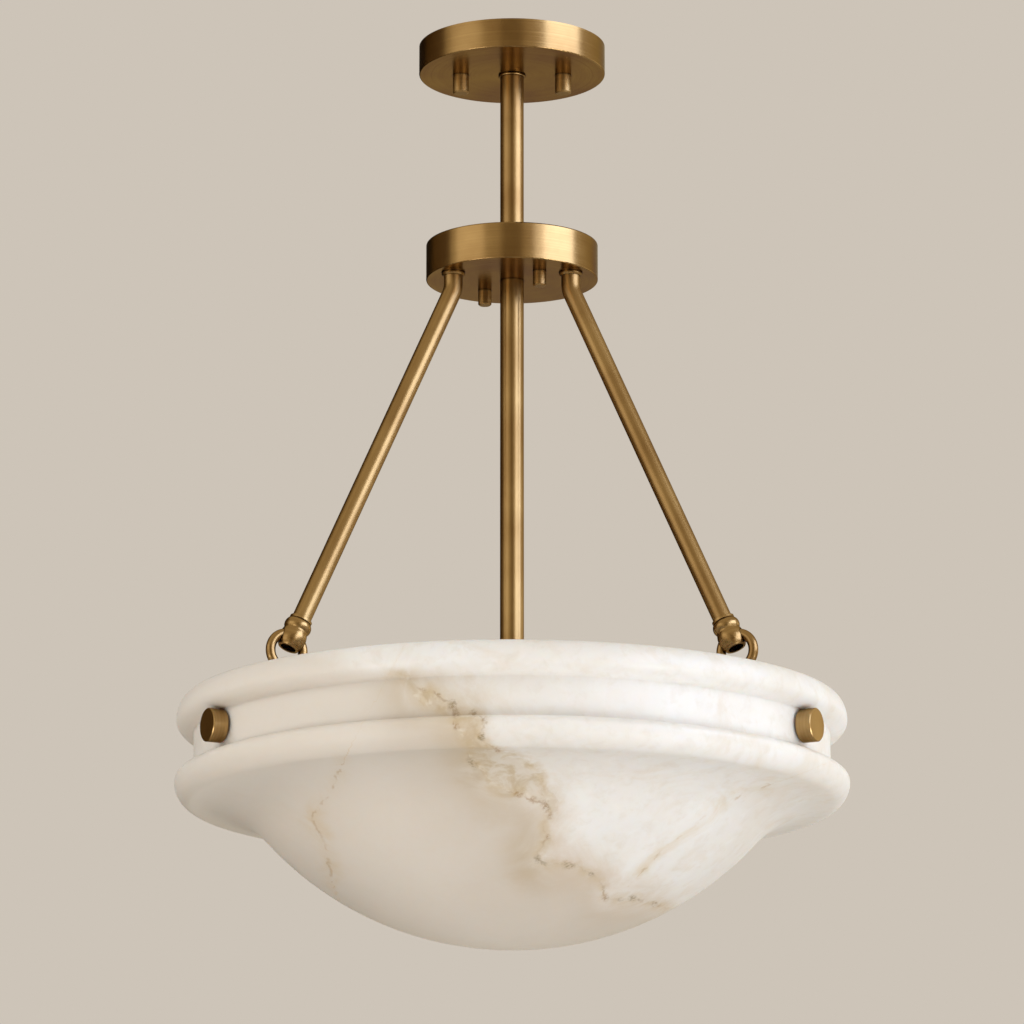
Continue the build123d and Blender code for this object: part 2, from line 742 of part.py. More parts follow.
def lamp_socket(azimuth):
    """Porcelain lamp socket: a narrow neck on the nipple and a wide cup round the screw shell."""
    with BuildPart() as piece:
        with BuildSketch(facing(azimuth, socket_start, lamp_z)):
            Circle(socket_neck_radius)
        extrude(amount=socket_neck_length)
        with BuildSketch(facing(azimuth, socket_start + socket_neck_length, lamp_z)):
            Circle(socket_radius)
        extrude(amount=socket_length - socket_neck_length)
        chamfer(piece.edges().filter_by(GeomType.CIRCLE).group_by(SortBy.RADIUS)[-1], length=socket_edge)
        with BuildSketch(facing(azimuth, socket_start + socket_floor, lamp_z)):
            Circle(shell_radius + thread_fit)
        extrude(amount=socket_length, mode=Mode.SUBTRACT)
        with BuildSketch(facing(azimuth, socket_start, lamp_z)):
            Circle(thread_hole)
        extrude(amount=socket_neck_length, mode=Mode.SUBTRACT)
    return piece.part


def bulb_base(azimuth):
    """Screw base of the bulb, with its centre contact."""
    with BuildPart() as piece:
        with BuildSketch(facing(azimuth, bulb_base_start, lamp_z)):
            Circle(bulb_base_radius)
        extrude(amount=bulb_base_length)
        with BuildSketch(facing(azimuth, bulb_base_start, lamp_z)):
            Circle(bulb_tip_radius)
        extrude(amount=-bulb_tip_length)
    return piece.part


def bulb_glass(azimuth):
    """Thin opal glass: a narrow neck that flares smoothly into a ball."""
    reach = bulb_glass_length - bulb_glass_radius
    swell = bulb_glass_radius - bulb_neck_radius
    flare = (reach**2 + bulb_neck_radius**2 - bulb_glass_radius**2) / (2 * swell)
    outer_share = bulb_glass_radius / (bulb_glass_radius + flare)
    inner_ball = bulb_glass_radius - bulb_glass_wall
    inner_share = inner_ball / (bulb_glass_radius + flare)
    flare_height = bulb_neck_radius + flare
    side = upright(azimuth)
    ball_centre = side.from_local_coords((bulb_glass_start + reach, lamp_z, 0))
    with BuildPart() as piece:
        with BuildSketch(Plane(origin=ball_centre, x_dir=side.x_dir, z_dir=side.z_dir)):
            with BuildLine():
                outer_meet = (-reach * outer_share, flare_height * outer_share)
                outer_flare = TangentArc((-reach, bulb_neck_radius), outer_meet, tangent=(1, 0))
                outer_ball = TangentArc(outer_flare @ 1, (bulb_glass_radius, 0), tangent=outer_flare % 1)
                tip = Line(outer_ball @ 1, (inner_ball, 0))
                inner_meet = (-reach * inner_share, flare_height * inner_share)
                inner_neck = (-reach, bulb_neck_radius - bulb_glass_wall)
                inner_flare = TangentArc(inner_neck, inner_meet, tangent=(1, 0))
                TangentArc(inner_flare @ 1, tip @ 1, tangent=inner_flare % 1)
                Line(inner_flare @ 0, outer_flare @ 0)
            make_face()
        revolve(axis=outward_axis(azimuth, lamp_z))
    return piece.part


for number, azimuth in enumerate(lamp_azimuths, start=1):
    save(lamp_socket(azimuth), f"lamp_socket_{number}")
    save(bulb_base(azimuth), f"bulb_base_{number}")
    save(bulb_glass(azimuth), f"bulb_glass_{number}")

with BuildPart() as socket_shells:
    for azimuth in lamp_azimuths:
        with BuildSketch(facing(azimuth, socket_end - shell_inset, lamp_z)):
            Circle(shell_radius)
            Circle(shell_radius - shell_wall, mode=Mode.SUBTRACT)
        extrude(amount=-shell_length)
save(socket_shells.part, "socket_shells")

with BuildPart() as socket_contacts:
    for azimuth in lamp_azimuths:
        with BuildSketch(facing(azimuth, socket_start + socket_floor, lamp_z)):
            Circle(contact_radius)
        extrude(amount=contact_height)
save(socket_contacts.part, "socket_contacts")

print("arm lean", round(degrees(arm_lean), 2), "dome radius", round(dome_radius, 1))
print("hub bottom", round(hub_bottom, 1), "rim top", round(rim_top, 1), "bowl bottom", round(bowl_bottom, 1))
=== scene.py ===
# %% [markdown]
# # An alabaster semi flush light
# The light hangs from a round brass canopy. A stem carries a brass hub, three bent arms leave the hub, and
# each arm ends in a turned cup with a ring of round wire through it. The three rings carry a bowl that is
# turned from one block of veined alabaster. The metal shapes come from the CAD frame, and this file gives
# them their finishes. The bowl's surface is made again here, because stone shows every small unevenness.

# %% Load the frame
import json
import math
import bpy
import numpy as np
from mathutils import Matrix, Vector


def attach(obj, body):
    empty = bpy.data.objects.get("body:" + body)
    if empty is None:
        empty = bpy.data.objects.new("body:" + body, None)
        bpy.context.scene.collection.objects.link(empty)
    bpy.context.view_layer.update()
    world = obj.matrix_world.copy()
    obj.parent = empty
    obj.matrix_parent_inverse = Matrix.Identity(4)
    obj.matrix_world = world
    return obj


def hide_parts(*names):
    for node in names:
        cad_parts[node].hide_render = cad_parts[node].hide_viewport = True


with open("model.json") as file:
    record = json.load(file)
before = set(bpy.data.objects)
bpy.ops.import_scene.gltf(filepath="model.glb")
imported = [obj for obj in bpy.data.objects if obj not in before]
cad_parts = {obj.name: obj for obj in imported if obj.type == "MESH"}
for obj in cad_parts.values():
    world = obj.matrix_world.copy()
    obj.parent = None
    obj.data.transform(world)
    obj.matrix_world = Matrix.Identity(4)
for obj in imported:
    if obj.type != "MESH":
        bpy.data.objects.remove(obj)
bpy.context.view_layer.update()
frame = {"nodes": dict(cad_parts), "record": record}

MM = 0.001
print("pieces in the frame:", len(frame["nodes"]))

# %% [markdown]
# Colours are written as the sRGB hex values that a paint chart gives. Blender mixes light in linear values,
# so one function turns hex into linear. One more function adds a node, sets its options, and sets or links
# its inputs, which keeps each material below short enough to read as a recipe.
#
# Inputs are named by their label or by their number. On a Mix node, input 0 is the factor, 2 and 3 are the
# two numbers, 6 and 7 are the two colours, and the mixed colour comes out at output 2.

# %% Colours and nodes
def colour(hex_value, alpha=1.0):
    """sRGB hex to linear: below 0.04045 divide by 12.92, above it ((c + 0.055) / 1.055) to the power 2.4."""
    channels = np.array([int(hex_value[i : i + 2], 16) for i in (0, 2, 4)]) / 255
    linear = np.where(channels <= 0.04045, channels / 12.92, ((channels + 0.055) / 1.055) ** 2.4)
    return (*(float(c) for c in linear), alpha)


def add_node(tree, kind, inputs=None, stops=None, **settings):
    """Add a node. An input is a value, a socket to link from, or a node whose first output is linked.

    The stops are those of a colour ramp, each a position and a colour.
    """
    node = tree.nodes.new(kind)
    for name, value in settings.items():
        setattr(node, name, value)
    for key, value in (inputs or {}).items():
        if isinstance(value, bpy.types.Node):
            value = value.outputs[0]
        if isinstance(value, bpy.types.NodeSocket):
            tree.links.new(value, node.inputs[key])
        else:
            node.inputs[key].default_value = value
    for index, (position, value) in enumerate(stops or []):
        elements = node.color_ramp.elements
        element = elements[index] if index < 2 else elements.new(position)
        element.position = position
        element.color = value
    return node


def new_finish(name):
    """A material with one Principled shader; returns the material, its tree and the shader."""
    material = bpy.data.materials.new(name)
    material.use_nodes = True
    tree = material.node_tree
    tree.nodes.clear()
    shader = add_node(tree, "ShaderNodeBsdfPrincipled")
    add_node(tree, "ShaderNodeOutputMaterial", {"Surface": shader})
    return material, tree, shader


print("warm wall grey in linear:", [round(c, 3) for c in colour("CDC4B8")])

# %% [markdown]
# ## Camera
# The camera stands below the bowl's rim and looks up, as a person does who stands across the room. A long
# lens keeps the arms' slant close to the true one. The Standard view shows each colour as it is written.

# %% Camera
bpy.context.scene.view_settings.view_transform = "Standard"
camera_tilt = 0.229
camera_data = bpy.data.cameras.new("room_camera")
camera_data.lens = 185.03
camera_data.sensor_width = 36.0
camera = bpy.data.objects.new("room_camera", camera_data)
camera.location = (0.0, -3.4378, -1.1278)
camera.rotation_euler = (math.pi / 2 + camera_tilt, 0.0, 0.0)
bpy.context.scene.collection.objects.link(camera)
bpy.context.scene.camera = camera
print("camera looks up by", round(math.degrees(camera_tilt), 1), "degrees")

# %% [markdown]
# ## The room
# The room is a plain warm grey, which gives the shaded side of the stone its warm tone. A Light Path node
# parts three uses of it: the camera sees the wall, the stone is lit by a slightly cooler grey, and the metal
# mirrors a warmer one, like the wood and cloth that a furnished room would show it.

# %% The room
world = bpy.data.worlds.new("warm_grey_room")
world.use_nodes = True
world.node_tree.nodes.clear()
sight = add_node(world.node_tree, "ShaderNodeLightPath").outputs
lit = {0: sight["Is Glossy Ray"], 6: colour("CCC7BF"), 7: colour("CDBFA3")}
wall = add_node(world.node_tree, "ShaderNodeMix", lit, data_type="RGBA").outputs[2]
through = {0: sight["Is Camera Ray"], 1: sight["Is Transmission Ray"]}
seen = add_node(world.node_tree, "ShaderNodeMath", through, operation="MAXIMUM")
shown = {0: seen, 6: wall, 7: colour("CDC4B8")}
wall = add_node(world.node_tree, "ShaderNodeMix", shown, data_type="RGBA").outputs[2]
room = add_node(world.node_tree, "ShaderNodeBackground", {"Color": wall, "Strength": 1.0})
add_node(world.node_tree, "ShaderNodeOutputWorld", {"Surface": room})
bpy.context.scene.world = world
print("room:", world.name)

# %% [markdown]
# ## Panel lights
# Stone is read by what falls on it and satin metal by what it mirrors, so each gets its own panels. The soft
# panels light the stone from the right and the left and don't show in reflections. Two low ones light the
# underside of the bowl, the right one more strongly. The sheen panels only show in reflections. They stand
# at the height that the upright tubes mirror into the camera: a wide bright one to the right, a narrow faint
# one between it and the camera, and faint ones to the left and to the right behind. The bright one is a
# little cool like the sky in a window, which keeps the yellow metal's highlight pale.

# %% Panel lights
middle_of_light = Vector((0.0, 0.0, -0.35))


def station(azimuth, distance, height):
    """Place round the light: the azimuth is in degrees to the right of the camera's side."""
    angle = math.radians(azimuth)
    return (distance * math.sin(angle), -distance * math.cos(angle), height)


def panel(name, place, size, power, tint, diffuse=True, glossy=True):
    """Panel light that faces the middle of the light fitting and stays out of the picture."""
    light = bpy.data.lights.new(name, "AREA")
    light.shape = "RECTANGLE"
    light.size, light.size_y = size
    light.energy = power
    light.color = colour(tint)[:3]
    lamp = bpy.data.objects.new(name, light)
    lamp.location = place
    lamp.rotation_euler = (middle_of_light - Vector(place)).to_track_quat("-Z", "Y").to_euler()
    lamp.visible_camera = False
    lamp.visible_diffuse = diffuse
    lamp.visible_glossy = glossy
    bpy.context.scene.collection.objects.link(lamp)
    print(name, "at", [round(c, 2) for c in place], "metres,", power, "watts")


panel("soft_right", station(62.0, 2.4, 0.6), (1.2, 1.2), 15.0, "F8FAFF", glossy=False)
panel("soft_left", station(-72.0, 2.4, 0.45), (1.3, 1.2), 15.0, "FFFDFA", glossy=False)
panel("low_right", station(51.0, 2.6, -1.8), (1.6, 1.0), 32.0, "F3F7FF")
panel("low_left", station(-46.0, 2.6, -1.6), (1.4, 1.0), 17.5, "FFFCF8")
panel("sheen_right", station(66.0, 2.4, 0.55), (2.1, 1.5), 43.0, "CEDDFF", diffuse=False)
panel("sheen_front", station(36.0, 2.4, 0.05), (0.5, 0.9), 5.0, "D8E3FF", diffuse=False)
panel("sheen_left", station(-58.0, 2.4, 0.25), (1.8, 1.1), 3.9, "FFFBF5", diffuse=False)
panel("sheen_rear", station(122.0, 2.6, -0.15), (1.6, 0.7), 2.1, "FFFBF5", diffuse=False)

# %% [markdown]
# ## Boards
# Bright panels alone make metal look chalky. A warm board of a middle tone behind the camera gives the brass
# its golden middle, and two dark ones at the left give its dark left edge, as a photographer's flags do. The
# floor is plain and pale and lies far below, because the light hangs from a ceiling. The camera sees it in
# the wall's own colour, so that no edge shows behind the light.

# %% Boards
flag_height = -0.3


def board(name, centre, across, along, tint, seen_as=None):
    """Flat board as one face: its corners are the centre plus or minus the half sides across and along.

    With seen_as, the camera sees that plain colour, while the lights and the reflections meet the paint.
    """
    centre, across, along = (np.array(v, float) for v in (centre, across, along))
    corners = [
        centre - across - along,
        centre + across - along,
        centre + across + along,
        centre - across + along,
    ]
    mesh = bpy.data.meshes.new(name)
    mesh.from_pydata([tuple(c) for c in corners], [], [(0, 1, 2, 3)])
    made = bpy.data.objects.new(name, mesh)
    bpy.context.scene.collection.objects.link(made)
    material, tree, shader = new_finish(name + "_paint")
    shader.inputs["Base Color"].default_value = colour(tint)
    shader.inputs["Roughness"].default_value = 0.9
    if seen_as:
        eye = add_node(tree, "ShaderNodeLightPath").outputs["Is Camera Ray"]
        flat = add_node(tree, "ShaderNodeEmission", {"Color": colour(seen_as), "Strength": 1.0})
        either = add_node(tree, "ShaderNodeMixShader", {0: eye, 1: shader, 2: flat})
        tree.links.new(either.outputs[0], tree.nodes["Material Output"].inputs["Surface"])
    mesh.materials.append(material)
    return made


def flag(name, azimuth, distance, width, height, tint):
    """Upright board out of the camera's sight, which only the lights and the reflections meet."""
    angle = math.radians(azimuth)
    across = (width / 2 * math.cos(angle), width / 2 * math.sin(angle), 0.0)
    made = board(name, station(azimuth, distance, flag_height), across, (0.0, 0.0, height / 2), tint)
    made.visible_camera = False
    print(name, "covers", round(math.degrees(2 * math.atan(width / 2 / distance))), "degrees")


board("pale_floor", (0, 0, -5.6), (14, 0, 0), (0, 14, 0), "E4DED4", seen_as="CDC4B8")
flag("front_flag", 0.0, 4.3, 2.2, 4.0, "AE9C7A")
flag("left_flag", -112.0, 2.6, 2.1, 5.0, "6C5638")
flag("left_rear_flag", -152.0, 2.7, 1.8, 5.0, "2E241A")

# %% [markdown]
# ## Aged brass
# The brass parts are turned or drawn, brushed with a fine pad, darkened in a bath until the brass is a soft
# brown gold, and lacquered. Two things make it look real: brushed lines that follow the way each piece was
# worked, and a darker brown in corners, grooves and seams, which is the bath's patina where the pad can't
# reach and painted shade where pieces meet.
#
# Brushed lines are noise that is the same all the way along a line. On a turned piece the noise reads only
# the distance from the piece's axis and the place along it, so each line closes to a circle. On a drawn tube
# the noise is stretched along the tube. The real lines are a tenth of a millimetre wide, too fine to show
# in the picture, so they are drawn a little over a millimetre wide and very shallow.

# %% Brushed lines
turned_line_width = 1.2 * MM
drawn_line_size = (1.5 * MM, 1.5 * MM, 90 * MM)


def turned_lines(tree, place, centre, direction):
    """Noise of two numbers: the place along the axis, dot(p - c, d), and the distance from the axis."""
    offset = add_node(tree, "ShaderNodeVectorMath", {0: place, 1: centre}, operation="SUBTRACT")
    product = add_node(tree, "ShaderNodeVectorMath", {0: offset, 1: direction}, operation="DOT_PRODUCT")
    along = product.outputs["Value"]
    foot = add_node(tree, "ShaderNodeVectorMath", {0: direction, "Scale": along}, operation="SCALE")
    away = add_node(tree, "ShaderNodeVectorMath", {0: offset, 1: foot}, operation="DISTANCE").outputs["Value"]
    turned = add_node(tree, "ShaderNodeCombineXYZ", {"X": away, "Y": along})
    rings = {"Vector": turned, "Scale": 1 / turned_line_width, "Detail": 2.0}
    return add_node(tree, "ShaderNodeTexNoise", rings)


def drawn_lines(tree, place, centre, direction):
    """Noise in a frame that is turned to the tube: waves of 1.5 mm across it and of 90 mm along it."""
    turn = Vector(direction).to_track_quat("Z", "Y").to_euler()
    frame_of_tube = {"Vector": place, "Location": centre, "Rotation": turn, "Scale": drawn_line_size}
    laid = add_node(tree, "ShaderNodeMapping", frame_of_tube, vector_type="TEXTURE")
    return add_node(tree, "ShaderNodeTexNoise", {"Vector": laid, "Scale": 1.0, "Detail": 2.0})


print("brushed lines on turned pieces are", round(turned_line_width / MM, 1), "mm wide")

# %% [markdown]
# The brass itself is a metal of two close shades. Slow clouds from the bath and the brushed lines mix them.
# Ambient occlusion finds the corners, the grooves and the seams where pieces meet, and a dark brown is laid
# in
# there: patina in the grooves and painted shade at the seams. The lacquer is a thin coat over it all. A fade,
# which turns one range of numbers into another, is used for most of this.

# %% Aged brass
smooth = {"interpolation_type": "SMOOTHSTEP"}


def fade(low, high, at_low=0.0, at_high=1.0):
    """Inputs of a Map Range node: the result goes from at_low to at_high as the value goes low to high."""
    return {"From Min": low, "From Max": high, "To Min": at_low, "To Max": at_high}


def brass(name, lines, centre, direction, rough=0.23):
    """Aged satin brass whose brushed lines come from the function lines, about or along the axis given."""
    material, tree, shader = new_finish(name)
    place = add_node(tree, "ShaderNodeTexCoord").outputs["Object"]
    brushing = lines(tree, place, centre, direction)
    bath = add_node(tree, "ShaderNodeTexNoise", {"Vector": place, "Scale": 1 / (45 * MM), "Detail": 4.0})
    mixed = add_node(tree, "ShaderNodeMix", {0: 0.3, 2: bath, 3: brushing}, data_type="FLOAT")
    shades = [(0.36, colour("937243")), (0.64, colour("B0915E"))]
    tone = add_node(tree, "ShaderNodeValToRGB", {"Fac": mixed}, stops=shades)
    # Patina and painted shade: ambient occlusion, which also reaches the neighbouring pieces, darkens grooves
    # and seams to brown.
    corner = add_node(tree, "ShaderNodeAmbientOcclusion", {"Distance": 2.5 * MM}, samples=8).outputs["AO"]
    patina_and_painted_shade = add_node(tree, "ShaderNodeMapRange", {"Value": corner, **fade(0.45, 0.8, 0.8, 0.0)}, **smooth)
    aged = add_node(tree, "ShaderNodeMix", {0: patina_and_painted_shade, 6: tone, 7: colour("2A1C0C")}, data_type="RGBA")
    satin = {"Value": brushing, **fade(0.3, 0.7, rough - 0.03, rough + 0.03)}
    sheen = add_node(tree, "ShaderNodeMapRange", satin)
    relief = add_node(tree, "ShaderNodeBump", {"Height": brushing, "Strength": 0.05, "Distance": 0.05 * MM})
    tree.links.new(aged.outputs[2], shader.inputs["Base Color"])
    tree.links.new(sheen.outputs[0], shader.inputs["Roughness"])
    tree.links.new(relief.outputs[0], shader.inputs["Normal"])
    shader.inputs["Metallic"].default_value = 1.0
    shader.inputs["Specular Tint"].default_value = colour("968A70")
    shader.inputs["Coat Weight"].default_value = 0.35
    shader.inputs["Coat Roughness"].default_value = 0.2
    return material


up = (0.0, 0.0, 1.0)
turned_brass = brass("aged_brass_turned", turned_lines, (0.0, 0.0, 0.0), up)
print("brass finish of the pieces round the stem:", turned_brass.name)

# %% [markdown]
# Each piece that isn't round the stem has an axis of its own, so it gets its own copy of the finish, and the
# stems get one with lines along them. The axes and the places, in millimetres from the stem's axis and from
# the ceiling, repeat the CAD model's: the arms lean out by 25 degrees and stand at three azimuths, the rings
# stand upright in the arm's plane, and the knobs point straight out of the bowl's neck. The last number of
# each finish is how rough the pad leaves that kind of piece.

# %% A brass finish for each piece with its own axis
arm_lean = math.radians(25.058)
arm_azimuths = (90.0, 208.0, 332.0)
cup_reach, cup_height = 162.9, -430.4
ring_reach, ring_height = 166.2, -437.6
knob_reach, knob_height = 212.0, -491.5
collar_reach, collar_height = 44.8, -165.8
stem_brass = brass("aged_brass_stem", drawn_lines, (0.0, 0.0, 0.0), up, 0.32)
own_finish = {"upper_stem": stem_brass, "lower_stem": stem_brass}


def outward(azimuth, radius, height):
    """Point that far from the stem's axis, at that height, in metres."""
    angle = math.radians(azimuth)
    return (radius * math.cos(angle) * MM, radius * math.sin(angle) * MM, height * MM)


for number, azimuth in enumerate(arm_azimuths, start=1):
    out = outward(azimuth, 1 / MM, 0.0)
    sideways = (-out[1], out[0], 0.0)
    down = (math.sin(arm_lean) * out[0], math.sin(arm_lean) * out[1], -math.cos(arm_lean))
    joint = outward(azimuth, cup_reach, cup_height)
    shapes = {
        "arm": (drawn_lines, joint, down, 0.35),
        "loop_cup": (turned_lines, joint, down, 0.28),
        "suspension_ring": (turned_lines, outward(azimuth, ring_reach, ring_height), sideways, 0.30),
        "bowl_knob": (turned_lines, outward(azimuth, knob_reach, knob_height), out, 0.30),
        "arm_collar": (turned_lines, outward(azimuth, collar_reach, collar_height), up, 0.26),
    }
    for piece, settings in shapes.items():
        own_finish[f"{piece}_{number}"] = brass(f"aged_brass_{piece}_{number}", *settings)
nuts = {
    "canopy_cap_nut_1": (-34.925, 0.0),
    "canopy_cap_nut_2": (34.925, 0.0),
    "hub_cap_nut_1": (-18.5, 24.6),
    "hub_cap_nut_2": (18.5, -24.6),
}
for name, (x, y) in nuts.items():
    own_finish[name] = brass(f"aged_brass_{name}", turned_lines, (x * MM, y * MM, 0.0), up, 0.42)
print("pieces with a brass of their own:", len(own_finish))

# %% [markdown]
# ## The bowl's outline
# The bowl is turned on a lathe, so one outline describes it: from the middle of the underside out over the
# dome and the cove, round the two lips and the rim, and back inside to the middle of the floor. Each lip is
# a quarter oval of two arcs that run smoothly into each other. The sizes repeat the CAD solid's.

# %% Arcs and ovals
arc_step, fewest_points = 0.3, 4
lip_tightness = 0.72
lower_lip_width, lower_lip_crown = 12.7, 6.4


def arc(centre, radius, start, stop):
    """Points each 0.3 mm along a circle: centre plus radius times (cos a, sin a), a from start to stop."""
    count = max(int(abs(stop - start) * radius / arc_step), fewest_points)
    turn = np.linspace(start, stop, count)
    return np.stack([centre[0] + radius * np.cos(turn), centre[1] + radius * np.sin(turn)], axis=1)


def quarter_oval(centre, width, height):
    """Quarter oval from the side of its centre to its top or bottom: a tight arc and a wide one that meet."""
    long, short = max(abs(width), abs(height)), min(abs(width), abs(height))
    tight = lip_tightness * short
    wide = (long**2 + short**2 - 2 * long * tight) / (2 * (short - tight))
    turn = math.atan2(wide - short, long - tight)
    near = arc((long - tight, 0), tight, 0, turn)
    far = arc((0, short - wide), wide, turn, math.pi / 2)
    points = np.concatenate([near, far])
    if abs(height) > abs(width):
        points = points[::-1, ::-1]
    return np.array(centre) + points * np.sign([width, height])


print("one lip has", len(quarter_oval((0, 0), lower_lip_width, lower_lip_crown)), "points")

# %% [markdown]
# The heights follow from the rim down, as they do in the CAD model. The cove leaves the lower lip level and
# meets the dome smoothly, and that fixes the dome's radius.

# %% The bowl's outline
rim_top, rim_radius, neck_radius, mouth_radius = -458.306, 222.7, 211.1, 192.0
bowl_bottom, cove_radius, wall = -620.306, 65.7, 10.5
rim_round, inner_round = 8.0, 5.0
upper_lip_width, upper_lip_crown, upper_lip_under = 11.6, 12.7, 9.2
lip_to_neck_bottom = 35.2
lower_under_width, lower_under_height = 11.7, 14.4
shoulder_above, shoulder_below, shoulder_width, floor_drop = 2.0, 3.2, 4.0, 6.3
lip_z = rim_top - upper_lip_crown
neck_bottom = lip_z - lip_to_neck_bottom
lower_z = neck_bottom - lower_lip_crown
flange_r, flange_z = neck_radius + lower_lip_width - lower_under_width, lower_z - lower_under_height
dome_height = flange_z - bowl_bottom
dome_radius = (flange_r**2 + dome_height**2) / (2 * dome_height) - cove_radius
dome_z = bowl_bottom + dome_radius
cove_z = flange_z - cove_radius
cove_turn = math.atan2(dome_z - cove_z, -flange_r)
inner_radius = dome_radius - wall
floor_turn = math.asin((neck_bottom - floor_drop - dome_z) / inner_radius)
outline = np.concatenate(
    [
        arc((0, dome_z), dome_radius, -math.pi / 2, cove_turn - math.pi),
        arc((flange_r, cove_z), cove_radius, cove_turn, math.pi / 2),
        quarter_oval((flange_r, lower_z), lower_under_width, -lower_under_height)[::-1],
        quarter_oval((neck_radius, lower_z), lower_lip_width, lower_lip_crown),
        quarter_oval((neck_radius, lip_z), upper_lip_width, -upper_lip_under)[::-1],
        quarter_oval((rim_radius - rim_round, lip_z), rim_round, upper_lip_crown),
        arc((mouth_radius + inner_round, rim_top - inner_round), inner_round, math.pi / 2, math.pi),
        [
            (mouth_radius, neck_bottom + shoulder_above),
            (mouth_radius - shoulder_width, neck_bottom - shoulder_below),
        ],
        arc((0, dome_z), inner_radius, floor_turn, -math.pi / 2),
    ]
)
print("outline:", len(outline), "points; dome radius", round(dome_radius, 2), "mm")

# %% [markdown]
# A mason sands the inner corners soft, so the outline is averaged along its length with a bell curve that
# spreads by a millimetre. Then points are picked from it, close together where it bends and wider apart where
# it is nearly straight, which keeps the mesh small and the lips round. The inside, from a little way past the
# rim, is hardly seen and gets fewer of them.

# %% Sand the outline and pick its points
spacing, sand_spread, bell_half, kept_ends = 0.25, 1.0, 16, 20
straight_need, sharpest_bend, bend_need = 0.2, 0.35, 5.0
past_rim, inside_share, profile_count = 80, 0.45, 206
steps = np.concatenate([[0], np.cumsum(np.hypot(*np.diff(outline, axis=0).T))])
even = np.arange(0, steps[-1], spacing)
outline = np.stack([np.interp(even, steps, outline[:, k]) for k in (0, 1)], axis=1)
reach = np.arange(-bell_half, bell_half + 1)
bell = np.exp(-0.5 * (reach * spacing / sand_spread) ** 2)
bell /= bell.sum()
sanded = np.stack([np.convolve(outline[:, k], bell, mode="same") for k in (0, 1)], axis=1)
sanded[:kept_ends], sanded[-kept_ends:] = outline[:kept_ends], outline[-kept_ends:]
heading = np.unwrap(np.arctan2(np.gradient(sanded[:, 1]), np.gradient(sanded[:, 0])))
bend = np.abs(np.gradient(heading)) / spacing
need = straight_need + np.convolve(np.minimum(bend, sharpest_bend) * bend_need, bell, mode="same")
hidden = np.arange(len(sanded)) > np.argmax(sanded[:, 1]) + past_rim
travel = np.cumsum(np.where(hidden, inside_share * need, need))
picks = np.interp(np.linspace(travel[0], travel[-1], profile_count), travel, np.arange(len(travel)))
profile = np.stack([np.interp(picks, np.arange(len(sanded)), sanded[:, k]) for k in (0, 1)], axis=1)
profile[0, 0] = profile[-1, 0] = 0.0
closest = np.hypot(*np.diff(profile, axis=0).T).min()
print("profile points:", len(profile), "closest", round(float(closest), 2), "mm")

# %% [markdown]
# The outline is then turned about the stem's axis. Real stone isn't quite round: the wheel leaves slow waves
# of up to a quarter of a millimetre, which show as soft wavering in the light along the lips.

# %% Turn the bowl
calm_radius = 120


def turned_surface(name, profile, around, wave):
    """Ring i, column j: the point at radius r_i and height z_i, both moved by a slow wave of the angle.

    The angle is t - cos(t) / 2, with t = 2 pi j / around. So the columns stand closer at the front, where
    the veins are finest, in steps half as wide as the mean ones. The wave is a sum of three sines with 2, 5
    and 9 lobes round the bowl, and it dies away towards the axis. The two ends lie on the axis and are single
    corners, so the skin is closed. The order of the rings is from the underside outward and over the rim,
    which makes the faces point out of the stone.
    """
    rings = len(profile) - 2
    even_turn = np.arange(around) * 2 * math.pi / around
    turn = even_turn - 0.5 * np.cos(even_turn)
    r, z = profile[1:-1, 0][:, None], profile[1:-1, 1][:, None]
    slow = 0.0
    for lobes, share, phase, climb in ((2, 1.0, 0.6, 60), (5, 0.6, -1.1, -25), (9, 0.4, 0.0, 12)):
        slow = slow + share * np.sin(lobes * turn + phase + z / climb)
    r_now = r + wave * slow * np.minimum(r / calm_radius, 1.0)
    ring = np.stack([r_now * np.cos(turn), r_now * np.sin(turn), z + 0.5 * wave * slow], axis=2)
    corners = np.concatenate([[[0, 0, profile[0, 1]]], ring.reshape(-1, 3), [[0, 0, profile[-1, 1]]]])
    i, j = np.meshgrid(np.arange(rings - 1), np.arange(around), indexing="ij")
    a, b = 1 + i * around + j, 1 + i * around + (j + 1) % around
    quads = np.stack([a, b, b + around, a + around], axis=2).reshape(-1, 4)
    k, last = np.arange(around), 1 + (rings - 1) * around
    first_fan = np.stack([np.zeros_like(k), 1 + (k + 1) % around, 1 + k], axis=1)
    last_fan = np.stack([np.full_like(k, len(corners) - 1), last + k, last + (k + 1) % around], axis=1)
    mesh = bpy.data.meshes.new(name)
    mesh.from_pydata((corners * MM).tolist(), [], first_fan.tolist() + quads.tolist() + last_fan.tolist())
    mesh.polygons.foreach_set("use_smooth", np.ones(len(mesh.polygons), bool))
    made = bpy.data.objects.new(name, mesh)
    bpy.context.scene.collection.objects.link(made)
    return made, corners


stone_bowl, corners = turned_surface("turned_stone_bowl", profile, around=480, wave=0.12)
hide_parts("alabaster_bowl")
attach(stone_bowl, "bowl")
print("bowl corners:", len(corners), "faces:", len(stone_bowl.data.polygons))

# %% [markdown]
# ## Veins
# A vein in alabaster is a thin sheet of iron-stained earth that fills a crack through the whole block, so it
# runs over lips, neck and dome without a break. Each sheet is drawn here as a route of a few points in a
# plane, and it goes through the stone at right angles to that plane. Every corner of the mesh is given its
# distance from each route, with a sign for the side, and the finish reads these distances. Noise in the
# finish makes the straight runs between the points ragged.

